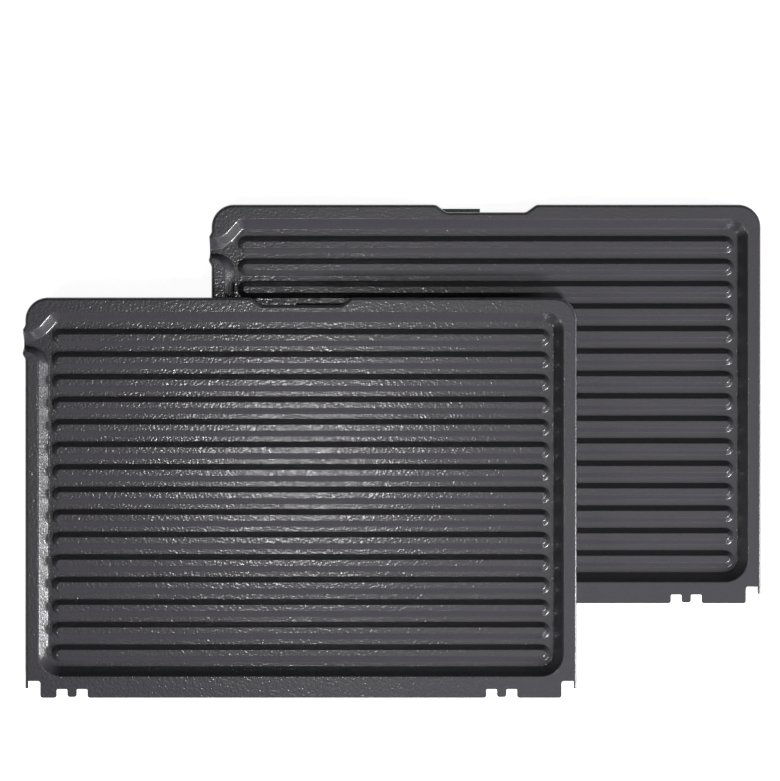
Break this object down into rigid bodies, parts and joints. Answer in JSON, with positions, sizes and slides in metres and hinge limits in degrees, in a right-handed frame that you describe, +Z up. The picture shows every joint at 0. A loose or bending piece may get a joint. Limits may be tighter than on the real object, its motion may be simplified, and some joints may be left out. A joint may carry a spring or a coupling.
{
  "type": "contact grill plates",
  "caption": "Pair of removable ribbed cooking plates for a contact grill, pressed from sheet, with rim skirt, drain spout, latch notch and notched rear tongue.",
  "frame": {"origin": "on the table, under the middle of the pair's bounding box", "axes": "+X along the ribs, +Y from the rear tongue to the front notch, +Z up with the cooking sides up"},
  "size_m": [0.4427, 0.2954, 0.014],
  "materials": {
    "nonstick_coating": "satin, finely grained dark grey non-stick coating"
  },
  "bodies": {
    "lower_plate": {"lower_plate": "nonstick_coating"},
    "upper_plate": {"upper_plate": "nonstick_coating"}
  },
  "joints": [
    {"name": "upper_plate_lift", "type": "slide", "parent": "lower_plate", "child": "upper_plate", "axis": [0, 0, 1], "range_m": [0, 0.06]}
  ]
}
